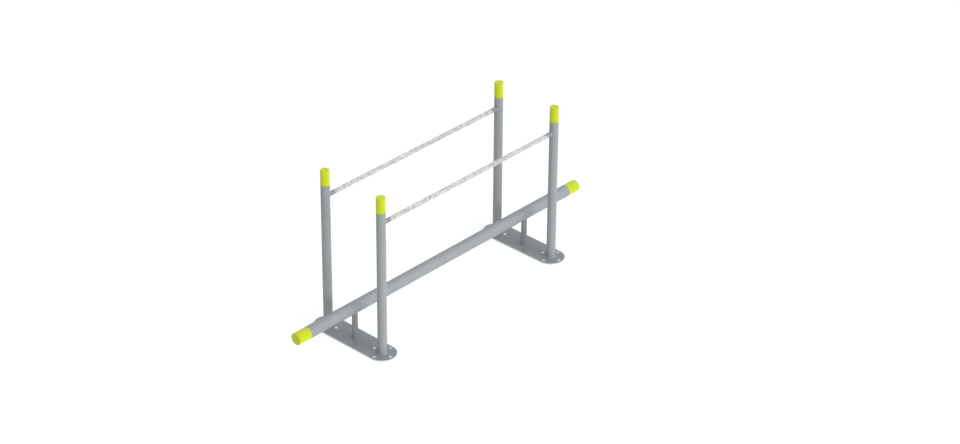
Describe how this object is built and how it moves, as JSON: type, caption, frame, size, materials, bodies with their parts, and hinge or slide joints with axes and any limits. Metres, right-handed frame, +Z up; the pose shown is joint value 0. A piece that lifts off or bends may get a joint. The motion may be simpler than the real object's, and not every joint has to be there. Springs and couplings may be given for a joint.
{
  "type": "balance beam with handrails",
  "caption": "Low round balance beam on bolted base plates, with a straight handrail on each side carried by tall capped posts.",
  "frame": {"origin": "on the ground, below the middle of the beam", "axes": "+X along the beam, +Y across it from the front rail to the rear rail, +Z up"},
  "size_m": [3.29, 0.845, 1.432],
  "materials": {
    "grey_paint": "satin powder coat on steel",
    "lime_plastic": "satin moulded plastic",
    "galvanised_steel": "hot-dip galvanised, spangled",
    "zinc": "bright zinc plated"
  },
  "bodies": {
    "root": {"base_plate_left": "grey_paint", "beam_leg_left": "grey_paint", "beam_cap_left": "lime_plastic", "post_left_front": "grey_paint", "post_cap_left_front": "lime_plastic", "rail_socket_left_front": "grey_paint", "rail_screw_left_front": "zinc", "anchor_bolt_left_front_1": "zinc", "anchor_bolt_left_front_2": "zinc", "anchor_bolt_left_front_3": "zinc", "anchor_bolt_left_front_4": "zinc", "post_left_rear": "grey_paint", "post_cap_left_rear": "lime_plastic", "rail_socket_left_rear": "grey_paint", "rail_screw_left_rear": "zinc", "anchor_bolt_left_rear_1": "zinc", "anchor_bolt_left_rear_2": "zinc", "anchor_bolt_left_rear_3": "zinc", "anchor_bolt_left_rear_4": "zinc", "base_plate_right": "grey_paint", "beam_leg_right": "grey_paint", "beam_cap_right": "lime_plastic", "post_right_front": "grey_paint", "post_cap_right_front": "lime_plastic", "rail_socket_right_front": "grey_paint", "rail_screw_right_front": "zinc", "anchor_bolt_right_front_1": "zinc", "anchor_bolt_right_front_2": "zinc", "anchor_bolt_right_front_3": "zinc", "anchor_bolt_right_front_4": "zinc", "post_right_rear": "grey_paint", "post_cap_right_rear": "lime_plastic", "rail_socket_right_rear": "grey_paint", "rail_screw_right_rear": "zinc", "anchor_bolt_right_rear_1": "zinc", "anchor_bolt_right_rear_2": "zinc", "anchor_bolt_right_rear_3": "zinc", "anchor_bolt_right_rear_4": "zinc", "beam_tube": "grey_paint", "handrail_front": "galvanised_steel", "handrail_rear": "galvanised_steel"}
  },
  "joints": []
}
